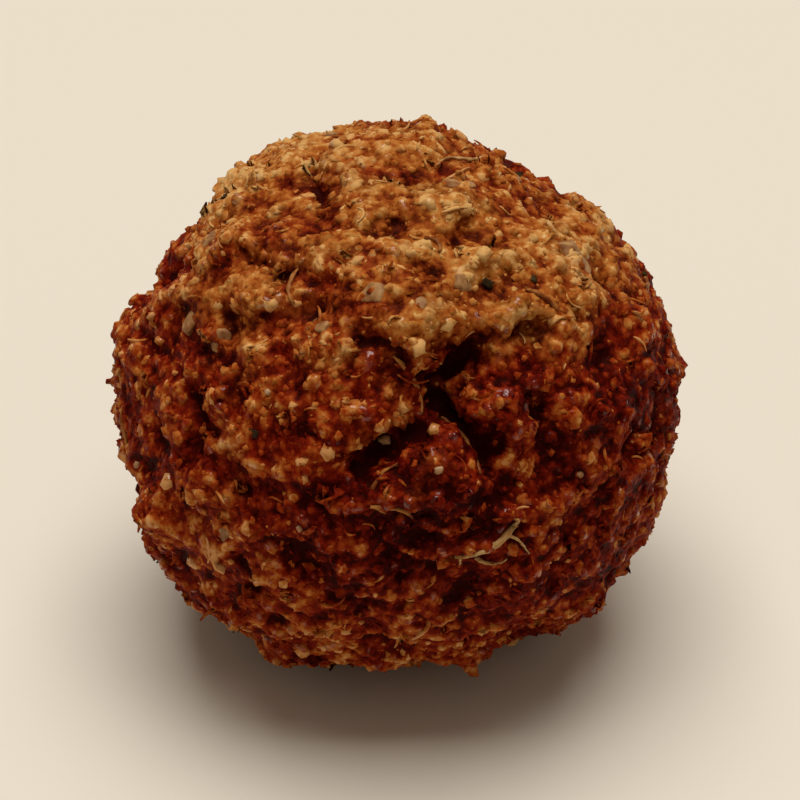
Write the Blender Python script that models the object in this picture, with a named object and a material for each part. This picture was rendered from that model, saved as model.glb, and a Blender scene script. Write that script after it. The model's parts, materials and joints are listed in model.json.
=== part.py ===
"""A fried pork meatball with a crumb crust, about 46 mm across, as one solid.

The ball is an icosahedron whose sides are split into small triangles, blown up to a sphere. Every
point is then moved in or out by a relief made of named features: lobes of mince, folds where one lump
laps over another, cracks, pits, and a cellular pattern of clumps, crags and crumbs. A flat spot is
cut at the bottom, where the ball rests.

Units are metres. +Z is up, the side seen in the photograph faces -Y, and the origin is at the middle
of the bottom. A place on the ball is written as (azimuth, elevation) in degrees, as seen from the
ball's middle: azimuth 0 is the front, 90 the right side, and elevation 90 the top.
"""

import math

import bmesh
import bpy
import numpy as np
from mathutils import Vector, noise

MM = 0.001

# Driving dimensions
HALF_WIDTH = 22.4 * MM
HALF_DEPTH = 22.0 * MM
HALF_HEIGHT = 22.0 * MM
REST_SPOT_RADIUS = 8.5 * MM

# Cuts across each side of the icosahedron: 20 * (23 + 1) ** 2 = 11520 triangles
SIDE_CUTS = 23

# Lumps all over the ball, from mince clumps down to coarse crumbs
CLUMP_SIZE = 6.0 * MM
CLUMP_HEIGHT = 1.5 * MM
CRAG_SIZE = 3.1 * MM
CRAG_HEIGHT = 1.0 * MM
CRUMB_SIZE = 1.9 * MM
CRUMB_HEIGHT = 0.6 * MM
SWELL_SIZE = 15.0 * MM
SWELL_HEIGHT = 0.75 * MM

# The lumps are cells: reach of a cell's dome, how uneven the cells are, and their mean level.
# Some sides of the ball are craggier than others, by the share that these two give.
CELL_REACH = 0.75
CELL_WOBBLE = 0.35
CELL_MEAN = 0.6
CRAGGY_MEAN = 0.75
CRAGGY_SWING = 0.5

# The edges of folds and cracks wander, step over a short way, and fade out at both ends
EDGE_WANDER = 0.9 * MM
EDGE_WANDER_SIZE = 4.0 * MM
CRACK_WANDER_SHARE = 0.6
FOLD_STEP = 0.9 * MM
FADE_SHARE = 0.22
PATH_STEPS = 8

# Lobes and hollows: (azimuth, elevation), radius, height. A negative height is a hollow.
LOBES = [
    ((180, 66), 3.6 * MM, 1.0 * MM),      # knob on the crown
    ((-92, 12), 7.0 * MM, 1.1 * MM),      # left cheek
    ((-97, 29), 3.4 * MM, -1.9 * MM),     # dip between cheek and crown
    ((-56, -9), 4.2 * MM, 1.1 * MM),      # knuckle low on the left
    ((11, 27), 3.0 * MM, 1.0 * MM),       # nugget under the front cavity
    ((4, 52), 5.5 * MM, 0.9 * MM),        # brow above the front cavity
    ((95, 22), 6.5 * MM, 0.4 * MM),       # right cheek
    ((100, 62), 5.0 * MM, -0.9 * MM),     # flat beside the crown
    ((-37, -48), 1.6 * MM, 1.5 * MM),     # small nub beneath the front
    ((-20, 14), 4.5 * MM, 0.7 * MM),      # swell left of the nugget
    ((32, -12), 5.0 * MM, 0.6 * MM),      # swell low on the right
    ((66, -34), 9.0 * MM, 1.3 * MM),      # full lower right side
    ((-66, -31), 8.0 * MM, 1.7 * MM),     # full lower left side
    ((140, 50), 6.0 * MM, -0.6 * MM),     # flat behind the crown's right side
    ((0, -54), 7.0 * MM, -0.5 * MM),      # drawn in under the front
    ((29, -50), 3.0 * MM, -0.6 * MM),
    ((86, 78), 1.6 * MM, 0.5 * MM),       # bits of onion that stand proud of the crust
    ((75, 49), 1.8 * MM, 0.6 * MM),
    ((-82, 48), 1.4 * MM, 0.5 * MM),
    ((150, 20), 6.0 * MM, 1.2 * MM),      # back lobes
    ((-145, 35), 6.5 * MM, 1.1 * MM),
    ((-150, -12), 5.0 * MM, 0.9 * MM),
    ((170, -20), 4.0 * MM, -0.9 * MM),
    ((125, -18), 4.5 * MM, 0.9 * MM),
    ((-120, 58), 3.4 * MM, -0.8 * MM),
]

# Folds, listed from left to right: the side above the path laps over the side below it.
# path, lip height, groove depth, reach of the lip, reach of the groove
FOLDS = [
    # brow whose lower edge comes to a point above the front cavity
    ([(-14, 52), (-6, 47), (6, 41), (14, 44), (26, 48), (40, 45), (56, 38)],
     1.0 * MM, 1.5 * MM, 5.0 * MM, 2.4 * MM),
    # crease from the left cheek up to the brow
    ([(-88, 34), (-66, 40), (-48, 46), (-33, 54), (-20, 58)],
     0.6 * MM, 1.1 * MM, 4.5 * MM, 2.2 * MM),
    # underside of the nugget
    ([(-9, 17), (2, 14), (14, 15), (22, 20)],
     0.7 * MM, 1.0 * MM, 3.0 * MM, 2.0 * MM),
    # shelf low on the front
    ([(2, 1), (12, 1), (24, 5), (34, 6)],
     0.6 * MM, 0.9 * MM, 3.0 * MM, 2.0 * MM),
    # rim pressed out where the ball sat in the pan
    ([(-62, -30), (-38, -25), (-12, -27), (14, -26), (38, -31), (60, -28)],
     0.6 * MM, 0.5 * MM, 3.2 * MM, 2.6 * MM),
    # back and sides
    ([(80, 8), (98, 2), (118, 6), (140, 2)],
     0.8 * MM, 1.2 * MM, 4.0 * MM, 2.2 * MM),
    ([(128, 48), (150, 42), (172, 46), (194, 40)],
     0.9 * MM, 1.3 * MM, 4.5 * MM, 2.3 * MM),
    ([(160, -4), (182, 2), (204, -3), (222, 4)],
     0.8 * MM, 1.2 * MM, 3.5 * MM, 2.2 * MM),
    ([(215, -32), (240, -27), (262, -33)],
     0.6 * MM, 0.8 * MM, 3.0 * MM, 2.6 * MM),
    ([(236, 14), (250, 20), (266, 16)],
     0.7 * MM, 1.0 * MM, 3.2 * MM, 2.0 * MM),
]

# Cracks: path, half width, depth
CRACKS = [
    ([(13, 44), (12, 36), (15, 30), (20, 24), (25, 16)], 1.2 * MM, 3.0 * MM),
    ([(9, 31), (1, 28), (-6, 23), (-11, 18)], 1.0 * MM, 2.6 * MM),
    ([(33, 34), (36, 26), (38, 19)], 0.8 * MM, 1.5 * MM),
    ([(-52, 31), (-54, 24), (-48, 17), (-52, 6)], 0.9 * MM, 1.6 * MM),
    ([(-27, 4), (-20, -1), (-12, -2)], 0.9 * MM, 1.4 * MM),
    ([(62, 20), (70, 12), (72, 2)], 0.9 * MM, 1.3 * MM),
    ([(-110, 44), (-100, 30), (-108, 14)], 0.9 * MM, 1.6 * MM),
    ([(128, 30), (140, 22), (156, 26), (170, 18)], 0.9 * MM, 1.8 * MM),
    ([(-150, 20), (-138, 10), (-132, -4)], 0.9 * MM, 1.7 * MM),
    ([(96, -14), (112, -20), (124, -32)], 0.9 * MM, 1.4 * MM),
    ([(-170, 62), (-140, 66), (-110, 70)], 0.8 * MM, 1.3 * MM),
    ([(30, 66), (55, 70), (85, 70)], 0.8 * MM, 1.0 * MM),
]

# Pits: (azimuth, elevation), radius, depth
PITS = [
    ((14, 43), 1.9 * MM, 3.2 * MM),       # the front cavity, under the brow's point
    ((21, 45), 1.4 * MM, 2.0 * MM),
    ((26, 18), 1.6 * MM, 1.2 * MM),
    ((-20, 1), 1.3 * MM, 1.3 * MM),
    ((-47, 19), 1.3 * MM, 1.2 * MM),
    ((14, 62), 1.0 * MM, 0.9 * MM),
    ((36, 25), 1.2 * MM, 1.0 * MM),
    ((12, -10), 1.3 * MM, 0.9 * MM),
    ((58, 10), 1.2 * MM, 1.0 * MM),
    ((140, 34), 1.4 * MM, 1.5 * MM),
    ((-158, 8), 1.5 * MM, 1.6 * MM),
    ((-104, -8), 1.3 * MM, 1.2 * MM),
    ((110, 40), 1.3 * MM, 1.2 * MM),
]

CRUST_COLOUR = (0.20, 0.065, 0.016, 1.0)
CRUST_ROUGHNESS = 0.62

MEAN_RADIUS = (HALF_WIDTH + HALF_DEPTH + HALF_HEIGHT) / 3


def clear_scene():
    for obj in list(bpy.data.objects):
        bpy.data.objects.remove(obj, do_unlink=True)


def new_collection(name):
    collection = bpy.data.collections.new(name)
    bpy.context.scene.collection.children.link(collection)
    return collection


def direction(azimuth, elevation):
    """Unit vector from the ball's middle to a place on it."""
    around = math.radians(azimuth)
    up = math.radians(elevation)
    return np.array([math.sin(around) * math.cos(up), -math.cos(around) * math.cos(up), math.sin(up)])


def smooth_step(value):
    value = np.clip(value, 0.0, 1.0)
    return value * value * (3 - 2 * value)


def smooth_path(places):
    """The places joined by a smooth curve over the ball, as an array of unit vectors."""
    knots = np.array([direction(*place) for place in places])
    knots = np.vstack([2 * knots[0] - knots[1], knots, 2 * knots[-1] - knots[-2]])
    curve = []
    for before, start, end, after in zip(knots, knots[1:], knots[2:], knots[3:]):
        for t in np.arange(PATH_STEPS) / PATH_STEPS:
            curve.append(0.5 * (2 * start + (end - before) * t
                                + (2 * before - 5 * start + 4 * end - after) * t**2
                                + (3 * start - before - 3 * end + after) * t**3))
    curve = np.array(curve + [knots[-2]])
    return curve / np.linalg.norm(curve, axis=1, keepdims=True)


def path_distance(points, path):
    """For each point: distance to the path, which is above zero on its left, and how far along, 0 to 1."""
    nearest = np.full(len(points), np.inf)
    signed = np.zeros(len(points))
    along = np.zeros(len(points))
    pieces = len(path) - 1
    for index, (start, end) in enumerate(zip(path, path[1:])):
        step = end - start
        t = np.clip((points - start) @ step / (step @ step), 0, 1)
        gap = np.linalg.norm(points - (start + t[:, None] * step), axis=1)
        closer = gap < nearest
        side = np.sign(points @ np.cross(start, end))
        nearest = np.where(closer, gap, nearest)
        signed = np.where(closer, gap * side, signed)
        along = np.where(closer, (index + t) / pieces, along)
    return signed * MEAN_RADIUS, along


def taper(along):
    """1 over most of a path, falling to 0 at both ends."""
    return smooth_step(np.minimum(along, 1 - along) / FADE_SHARE)


def noise_field(points, size, seed):
    """Smooth noise from -1 to 1 at each point, with features of the given size."""
    shift = Vector((seed, -seed, 2 * seed))
    scale = MEAN_RADIUS / size
    return np.array([noise.noise(Vector(p) * scale + shift) for p in points])


def wobble(place):
    """A smooth push away from a place, which makes the cells uneven."""
    return Vector([noise.noise(place + Vector((9.3 * axis, 5.1 * axis, 0))) for axis in range(3)])


def clump_field(points, size, seed):
    """Rounded cells with creases between them, below 0 in a crease and above 0 on a clump."""
    shift = Vector((seed, 3 * seed, -seed))
    scale = MEAN_RADIUS / size
    heights = []
    for p in points:
        place = Vector(p) * scale + shift
        place += CELL_WOBBLE * wobble(place)
        distances, _ = noise.voronoi(place)
        heights.append(1 - min(1.0, distances[0] / CELL_REACH) ** 2)
    return np.array(heights) - CELL_MEAN


def lobe_relief(points):
    relief = np.zeros(len(points))
    for place, radius, height in LOBES:
        gap = np.linalg.norm(points - direction(*place), axis=1) * MEAN_RADIUS
        relief += height * np.exp(-(gap / radius) ** 2)
    return relief


def fold_relief(points, wander):
    relief = np.zeros(len(points))
    for places, lip, groove, lip_reach, groove_reach in FOLDS:
        gap, along = path_distance(points, smooth_path(places))
        gap = gap + wander
        above = smooth_step(gap / FOLD_STEP + 0.5)
        raised = lip * np.exp(-np.maximum(gap, 0) / lip_reach)
        sunken = -groove * np.exp(-np.maximum(-gap, 0) / groove_reach)
        relief += taper(along) * (above * raised + (1 - above) * sunken)
    return relief


def crack_relief(points, wander):
    relief = np.zeros(len(points))
    for places, half_width, depth in CRACKS:
        gap, along = path_distance(points, smooth_path(places))
        gap = gap + CRACK_WANDER_SHARE * wander
        relief = np.minimum(relief, -depth * taper(along) * np.exp(-(gap / half_width) ** 2))
    return relief


def pit_relief(points):
    relief = np.zeros(len(points))
    for place, radius, depth in PITS:
        gap = np.linalg.norm(points - direction(*place), axis=1) * MEAN_RADIUS
        relief = np.minimum(relief, -depth * np.exp(-(gap / radius) ** 2))
    return relief


def ball_relief(points):
    """How far each point of the unit sphere stands out from the plain ball."""
    wander = EDGE_WANDER * noise_field(points, EDGE_WANDER_SIZE, seed=3)
    craggy = CRAGGY_MEAN + CRAGGY_SWING * noise_field(points, SWELL_SIZE, seed=8)
    clumps = CLUMP_HEIGHT * clump_field(points, CLUMP_SIZE, seed=5)
    crags = CRAG_HEIGHT * clump_field(points, CRAG_SIZE, seed=11)
    crumbs = CRUMB_HEIGHT * clump_field(points, CRUMB_SIZE, seed=21)
    swell = SWELL_HEIGHT * noise_field(points, SWELL_SIZE, seed=14)
    shaped = lobe_relief(points) + fold_relief(points, wander)
    cut = np.minimum(crack_relief(points, wander), pit_relief(points))
    return shaped + cut + swell + craggy * (clumps + crags) + crumbs


def make_meatball(collection):
    ball = bmesh.new()
    bmesh.ops.create_icosphere(ball, subdivisions=1, radius=1.0)
    bmesh.ops.subdivide_edges(ball, edges=ball.edges[:], cuts=SIDE_CUTS, use_grid_fill=True)
    points = np.array([vertex.co.normalized() for vertex in ball.verts])
    shape = points * [HALF_WIDTH, HALF_DEPTH, HALF_HEIGHT]
    shape += points * ball_relief(points)[:, None]
    rest_depth = HALF_HEIGHT * (1 - math.sqrt(1 - (REST_SPOT_RADIUS / MEAN_RADIUS) ** 2))
    middle = (shape.max(axis=0) + shape.min(axis=0)) / 2
    shape -= [middle[0], middle[1], rest_depth - HALF_HEIGHT]
    for vertex, place in zip(ball.verts, shape):
        vertex.co = place
    mesh = bpy.data.meshes.new("meatball")
    ball.to_mesh(mesh)
    ball.free()
    mesh.shade_smooth()
    obj = bpy.data.objects.new("meatball", mesh)
    collection.objects.link(obj)
    return obj


def cut_rest_spot(meatball, cutters):
    """Cuts the ball flat at the level that it stands on."""
    side = 3 * HALF_WIDTH
    bpy.ops.mesh.primitive_cube_add(size=side, location=(0, 0, -side / 2))
    cutter = bpy.context.object
    cutter.name = "below_the_table"
    cutter.hide_render = True
    cutter.display_type = "WIRE"
    for owner in list(cutter.users_collection):
        owner.objects.unlink(cutter)
    cutters.objects.link(cutter)
    cut = meatball.modifiers.new("rest_spot", "BOOLEAN")
    cut.operation = "DIFFERENCE"
    cut.solver = "EXACT"
    cut.object = cutter


def crust_material():
    material = bpy.data.materials.new("fried_crust")
    material.use_nodes = True
    shader = material.node_tree.nodes["Principled BSDF"]
    shader.inputs["Base Color"].default_value = CRUST_COLOUR
    shader.inputs["Roughness"].default_value = CRUST_ROUGHNESS
    shader.inputs["Metallic"].default_value = 0.0
    return material


def main():
    clear_scene()
    parts = new_collection("pork_meatball")
    cutters = new_collection("cutters")
    meatball = make_meatball(parts)
    meatball.data.materials.append(crust_material())
    cut_rest_spot(meatball, cutters)


main()
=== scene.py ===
# %% [markdown]
# # A fried pork meatball in its crumb crust
# The frame holds one solid: a lumpy ball with folds, cracks and pits, which stands for the meatball in
# the physics. This notebook dresses it. The mince and its crust become one fine mesh, and the crumbs,
# bits of onion and flecks of herb that the crust picked up are laid on it piece by piece.

# %% Load the frame
import json
import math
from contextlib import contextmanager

import bpy
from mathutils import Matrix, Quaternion, Vector

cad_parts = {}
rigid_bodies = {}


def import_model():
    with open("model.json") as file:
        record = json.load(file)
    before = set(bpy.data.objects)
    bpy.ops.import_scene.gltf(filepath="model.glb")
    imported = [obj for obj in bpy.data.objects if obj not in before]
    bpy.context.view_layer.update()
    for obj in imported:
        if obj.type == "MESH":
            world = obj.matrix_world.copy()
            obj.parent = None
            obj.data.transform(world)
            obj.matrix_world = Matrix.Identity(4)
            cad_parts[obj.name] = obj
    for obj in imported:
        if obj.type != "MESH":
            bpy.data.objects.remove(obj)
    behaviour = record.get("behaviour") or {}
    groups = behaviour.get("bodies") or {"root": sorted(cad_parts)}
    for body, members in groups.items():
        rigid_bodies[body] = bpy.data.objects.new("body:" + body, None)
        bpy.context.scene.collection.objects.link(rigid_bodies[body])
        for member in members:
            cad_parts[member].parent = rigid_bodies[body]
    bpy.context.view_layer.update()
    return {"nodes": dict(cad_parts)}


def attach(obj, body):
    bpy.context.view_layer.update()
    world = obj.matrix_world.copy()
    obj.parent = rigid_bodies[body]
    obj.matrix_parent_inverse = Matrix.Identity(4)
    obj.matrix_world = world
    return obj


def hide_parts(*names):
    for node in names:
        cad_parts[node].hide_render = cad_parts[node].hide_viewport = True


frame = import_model()
MM = 0.001

# %% [markdown]
# ## Where the camera stands
# The camera stands in front of the ball and looks down at it. A long lens from about a third of a metre
# keeps the ball's outline true, and the ball fills most of the frame.

# %% Camera
BALL_MIDDLE = Vector((0, 0, 20.3 * MM))
VIEW_ELEVATION = 36.0
VIEW_DISTANCE = 0.339
VIEW_LENS = 190.0
VIEW_NEAREST = 0.01


def direction(azimuth, elevation):
    """Unit vector from the ball's middle: azimuth 0 is the front, 90 the right side."""
    around = math.radians(azimuth)
    up = math.radians(elevation)
    return Vector((math.sin(around) * math.cos(up), -math.cos(around) * math.cos(up), math.sin(up)))


def aim_at_ball(item, distance, azimuth, elevation):
    """Sets a camera or a light at a distance from the ball's middle, and turns it to face that."""
    away = direction(azimuth, elevation)
    item.location = BALL_MIDDLE + distance * away
    item.rotation_euler = away.to_track_quat("Z", "Y").to_euler()


bpy.ops.object.camera_add()
camera = bpy.context.object
aim_at_ball(camera, VIEW_DISTANCE, 0, VIEW_ELEVATION)
camera.data.lens = VIEW_LENS
camera.data.clip_start = VIEW_NEAREST
bpy.context.scene.camera = camera
print("The camera stands", VIEW_DISTANCE, "m away and looks down", VIEW_ELEVATION, "degrees")

# %% [markdown]
# ## Light
# Daylight comes from high up and a little behind the ball, through something wide and soft.
# It leaves the cap bright, the front in its own shade, and a short soft shadow under the near edge. An
# area light is the plain way to get this. The pale world fills in the shade.

# %% Light and world
WINDOW_PLACE = (182, 82)
WINDOW_DISTANCE = 1.10
WINDOW_SIZE = 0.90
WINDOW_POWER = 12.5
WINDOW_COLOUR = (1.0, 0.985, 0.96)
WORLD_COLOUR = (1.0, 0.88, 0.73, 1.0)
WORLD_STRENGTH = 0.22

bpy.ops.object.light_add(type="AREA")
window = bpy.context.object
window.name = "window"
aim_at_ball(window, WINDOW_DISTANCE, *WINDOW_PLACE)
window.data.size = WINDOW_SIZE
window.data.energy = WINDOW_POWER
window.data.color = WINDOW_COLOUR
world = bpy.data.worlds.new("pale_room")
world.use_nodes = True
world.node_tree.nodes["Background"].inputs["Color"].default_value = WORLD_COLOUR
world.node_tree.nodes["Background"].inputs["Strength"].default_value = WORLD_STRENGTH
bpy.context.scene.world = world
bpy.context.scene.view_settings.view_transform = "Standard"
print("The light is", WINDOW_SIZE, "m wide and", WINDOW_POWER, "W")

# %% [markdown]
# ## Small helpers for node trees
# Materials and Geometry Nodes are both graphs. One helper adds a node, sets its plain values and joins
# its inputs, and a few more stand for the nodes that come back often, so that each graph below reads as
# a short list of steps.

# %% Node helpers
def find_socket(sockets, key):
    """A socket by its number, or by its name: the one in use, where each type of data has its own."""
    if isinstance(key, int):
        return sockets[key]
    return [socket for socket in sockets if socket.name == key and socket.enabled][0]


def set_inputs(tree, node, inputs):
    """Sets inputs of a node, each to a value or to another node's output."""
    for key, value in inputs.items():
        socket = find_socket(node.inputs, key)
        if isinstance(value, bpy.types.NodeSocket):
            tree.links.new(value, socket)
        else:
            socket.default_value = value


def add_node(tree, kind, inputs=(), **settings):
    """Adds a node with its settings and its inputs."""
    node = tree.nodes.new(kind)
    for name, value in settings.items():
        setattr(node, name, value)
    set_inputs(tree, node, dict(inputs))
    return node


def math_node(tree, operation, *values, clamp=False):
    """The output of a Math node over one, two or three values."""
    node = add_node(tree, "ShaderNodeMath", dict(enumerate(values)), operation=operation, use_clamp=clamp)
    return node.outputs[0]


def vector_node(tree, operation, first, second=(0.0, 0.0, 0.0)):
    """The output of a Vector Math node over two vectors, or over a vector and a number to scale it by."""
    second_input = "Scale" if operation == "SCALE" else 1
    node = add_node(tree, "ShaderNodeVectorMath", {0: first, second_input: second}, operation=operation)
    return node.outputs["Value" if operation == "DOT_PRODUCT" else "Vector"]


def rise(tree, value, start, end, lowest=0.0, kind="SMOOTHSTEP"):
    """A number that goes from the lowest to 1 while a value goes from start to end."""
    node = add_node(tree, "ShaderNodeMapRange",
                    {"Value": value, "From Min": start, "From Max": end, "To Min": lowest},
                    interpolation_type=kind)
    return node.outputs[0]


def noise(tree, place, size, detail, output="Fac"):
    """A soft noise with lumps of a given size."""
    node = add_node(tree, "ShaderNodeTexNoise", {"Vector": place, "Scale": 1 / size, "Detail": detail})
    return node.outputs[output]


# %% Graph helpers
def new_geometry_graph(name):
    """An empty Geometry Nodes graph, with the geometry that comes in and the socket that it leaves by."""
    tree = bpy.data.node_groups.new(name, "GeometryNodeTree")
    for way in ("INPUT", "OUTPUT"):
        tree.interface.new_socket("Geometry", in_out=way, socket_type="NodeSocketGeometry")
    return tree, tree.nodes.new("NodeGroupInput").outputs[0], tree.nodes.new("NodeGroupOutput").inputs[0]


def push_points(tree, geometry, way, distance):
    """Moves points some distance along a direction of their own."""
    push = vector_node(tree, "SCALE", way, distance)
    return add_node(tree, "GeometryNodeSetPosition", {"Geometry": geometry, "Offset": push}).outputs[0]


def store(tree, geometry, name, value, kind="FLOAT", domain="POINT"):
    """Writes a value on every point or instance, under a name that materials can read."""
    node = add_node(tree, "GeometryNodeStoreNamedAttribute",
                    {"Geometry": geometry, "Name": name, "Value": value}, data_type=kind, domain=domain)
    return node.outputs["Geometry"]


def stored(tree, name):
    """A number that store has written, read back in a Geometry Nodes graph."""
    node = add_node(tree, "GeometryNodeInputNamedAttribute", {"Name": name}, data_type="FLOAT")
    return find_socket(node.outputs, "Attribute")


# %% [markdown]
# ## The mince
# The frame's solid has the ball's real lumps, but its faces are a millimetre wide. A copy of it is
# merged, and the Remesh modifier lays an even net of small quads over it, fine enough to carry grains.
# Smooth takes off the last of the facets. Subdividing would be the other way, but it would keep the long
# thin faces round the flat spot.

# %% Selecting and shaping
def select_only(*pieces):
    """Selects these pieces alone, and makes the first one active."""
    bpy.ops.object.select_all(action="DESELECT")
    for piece in pieces:
        piece.select_set(True)
    bpy.context.view_layer.objects.active = pieces[0]


def modify(piece, kind, **settings):
    """Adds a modifier to a piece and keeps the result as its mesh."""
    modifier = piece.modifiers.new(kind, kind)
    for name, value in settings.items():
        setattr(modifier, name, value)
    select_only(piece)
    bpy.ops.object.modifier_apply(modifier=modifier.name)


@contextmanager
def whole_mesh():
    """Edit mode on the active piece, with all of its mesh selected."""
    bpy.ops.object.mode_set(mode="EDIT")
    bpy.ops.mesh.select_all(action="SELECT")
    yield
    bpy.ops.object.mode_set(mode="OBJECT")


def count_triangles(piece):
    return sum(len(face.vertices) - 2 for face in piece.data.polygons)


def count_faces(collection):
    """The faces of the first shape in a collection."""
    return len(collection.objects[0].data.polygons)


# %% Remesh the ball
MERGE_REACH = 1e-6
NET_SIZE = 0.31 * MM
SMOOTH_SHARE = 0.5
SMOOTH_ROUNDS = 6
ROOM_FOR_GRAINS = 0.40 * MM


def merged_copy(node_name, name):
    """A copy of a frame node with its loose triangles joined."""
    piece = bpy.data.objects.new(name, frame["nodes"][node_name].data.copy())
    bpy.context.scene.collection.objects.link(piece)
    piece.data.materials.clear()
    select_only(piece)
    with whole_mesh():
        bpy.ops.mesh.remove_doubles(threshold=MERGE_REACH)
    return piece


def remesh_and_smooth(piece, net_size, rounds):
    """Lays an even net of quads over a piece and softens it."""
    modify(piece, "REMESH", mode="VOXEL", voxel_size=net_size, use_smooth_shade=True)
    modify(piece, "SMOOTH", factor=SMOOTH_SHARE, iterations=rounds)
    print(piece.name, "has", len(piece.data.polygons), "quads")


mince = merged_copy("meatball", "mince")
remesh_and_smooth(mince, NET_SIZE, SMOOTH_ROUNDS)
modify(mince, "DISPLACE", strength=-ROOM_FOR_GRAINS, mid_level=0.0)

# %% [markdown]
# ## Placing by direction
# What lies on the ball is placed by its direction from the ball's middle, and a ray from outside finds
# where that is on the surface. On the side that was photographed the directions are read off the real
# ball. Elsewhere a rule spreads them, a fixed turn from one to the next.

# %% Places
BALL_RADIUS = 22.5 * MM
GOLDEN_SHARE = 0.618
LINE_PLACES = 5
WANDER_START = 53
WANDER_TURNS = (-16, 22)


def place_on(surface, azimuth, elevation, lift=0.0):
    """The place on a piece in a direction from the ball's middle, raised by a given height."""
    outward = direction(azimuth, elevation)
    _, place, _, _ = surface.ray_cast(BALL_MIDDLE + 2 * BALL_RADIUS * outward, -outward)
    return place + lift * outward


def stepped(index, lowest, highest):
    """A number between two limits that jumps about as the index goes up."""
    return lowest + (index * GOLDEN_SHARE) % 1.0 * (highest - lowest)


def spread_places(count, start, step, lowest, highest):
    """Places spread over the ball: each is a fixed turn from the last, at a height that steps as well."""
    return [((start + index * step) % 360, stepped(index, lowest, highest)) for index in range(count)]


def wandering_places(index, azimuth, elevation, step):
    """Five places in a gentle curve over the ball, a few degrees apart, from a given one."""
    heading = math.radians(WANDER_START * index)
    places = []
    for _ in range(LINE_PLACES):
        heading += math.radians(WANDER_TURNS[index % 2])
        azimuth += step * math.cos(heading) / math.cos(math.radians(elevation))
        elevation += step * math.sin(heading)
        places.append((azimuth, elevation))
    return places


# %% Shapes and paths
PATH_STEPS = 3


def add_shape(add, name, **settings):
    """Adds a primitive with nothing else selected, and names it."""
    bpy.ops.object.select_all(action="DESELECT")
    add(**settings)
    bpy.context.object.name = name
    return bpy.context.object


def path_tube(name, points, radii, depth, roundness):
    """A tube along five control points, as a closed mesh."""
    path = add_shape(bpy.ops.curve.primitive_nurbs_path_add, name)
    spline = path.data.splines[0]
    for point, place, radius in zip(spline.points, points, radii):
        point.co = (*place, 1.0)
        point.radius = radius
    spline.resolution_u = PATH_STEPS
    path.data.bevel_depth = depth
    path.data.bevel_resolution = roundness
    path.data.use_fill_caps = True
    bpy.ops.object.convert(target="MESH")
    with whole_mesh():
        bpy.ops.mesh.remove_doubles(threshold=MERGE_REACH)
        bpy.ops.mesh.normals_make_consistent(inside=False)
    bpy.ops.object.shade_smooth()
    return bpy.context.object


def join(pieces, name):
    select_only(*pieces)
    bpy.ops.object.join()
    pieces[0].name = name
    pieces[0].data.name = name
    return pieces[0]


# %% [markdown]
# ## Cracks
# Between its lumps the mince has split. Each crack is drawn as a line through five places and laid down
# on the mince with Shrinkwrap, and Geometry Nodes pushes in what lies close to a line. A noise makes the
# depth come and go. A boolean cut would be quicker, but it leaves straight walls.

# %% Crack lines
CRACK_BREAK_SIZE = 2.2 * MM
CRACK_BREAKS = (0.38, 0.54)
CRACK_SHALLOWEST = 0.25
DEEP_REACH = 0.95 * MM
DEEP_CUT = 1.6 * MM
DEEP_CRACKS = [
    [(9.8, 36.2), (14.6, 31.7), (17.5, 26.7), (19.7, 22.3), (20.5, 16.5)],
    [(-12.7, 45.0), (-6.5, 48.8), (-1.0, 47.0), (5.4, 41.5), (9.6, 40.1)],
]
FINE_REACH = 0.80 * MM
FINE_CUT = 0.8 * MM
FINE_CRACKS = [
    [(31.3, 35.5), (33.0, 31.3), (34.8, 27.8), (35.2, 24.7), (33.1, 21.0)],
    [(-3.7, 3.4), (0.7, 1.4), (5.1, -0.8), (9.0, -0.5), (13.6, -3.3)],
    [(-84.0, 22.0), (-71.0, 26.2), (-60.9, 26.3), (-53.9, 24.5), (-50.2, 18.8)],
    [(-46.6, -0.3), (-41.5, -3.6), (-34.5, -3.9), (-30.3, -8.5), (-30.3, -16.8)],
    [(-65.3, 52.9), (-52.7, 55.5), (-40.2, 56.8), (-27.2, 58.4), (-13.8, 57.9)],
    [(66.2, 38.4), (57.4, 41.0), (50.2, 44.6), (40.9, 45.6), (30.8, 45.2)],
]
HIDDEN_CRACK_STEP = 4.5
HIDDEN_DEEP_PLACES = spread_places(count=4, start=95, step=50, lowest=-20, highest=45)
HIDDEN_FINE_PLACES = spread_places(count=12, start=62, step=67, lowest=-42, highest=72)


def crack_line(index, places):
    """A bare line that lies on the mince."""
    points = [place_on(mince, *place) for place in places]
    line = path_tube(f"crack_{index}", points, [1.0] * len(points), depth=0.0, roundness=0)
    modify(line, "SHRINKWRAP", target=mince)
    return line


def crack_graph(lines, reach, cut):
    """Pushes the surface in close to the lines, by a depth that comes and goes along them."""
    tree, start, end = new_geometry_graph("cracks")
    drawn = add_node(tree, "GeometryNodeObjectInfo", {"Object": lines}).outputs["Geometry"]
    place = add_node(tree, "GeometryNodeInputPosition").outputs[0]
    normal = add_node(tree, "GeometryNodeInputNormal").outputs[0]
    away = add_node(tree, "GeometryNodeProximity", {0: drawn}, target_element="EDGES").outputs["Distance"]
    near = rise(tree, away, reach, 0.0)
    broken = rise(tree, noise(tree, place, CRACK_BREAK_SIZE, 1.0), *CRACK_BREAKS, CRACK_SHALLOWEST, "LINEAR")
    depth = math_node(tree, "MULTIPLY", math_node(tree, "MULTIPLY", near, broken), -cut)
    tree.links.new(push_points(tree, start, normal, depth), end)
    return tree


def cut_cracks(shown, hidden, reach, cut):
    """Cracks the mince along the given places, and along some more on the sides that don't show."""
    lines = shown + [wandering_places(index, *place, HIDDEN_CRACK_STEP) for index, place in enumerate(hidden)]
    joined = join([crack_line(index, places) for index, places in enumerate(lines)], "crack_lines")
    modify(mince, "NODES", node_group=crack_graph(joined, reach, cut))
    bpy.data.objects.remove(joined)
    print("The mince has", len(lines), "cracks of", round(cut / MM, 1), "mm")


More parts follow.
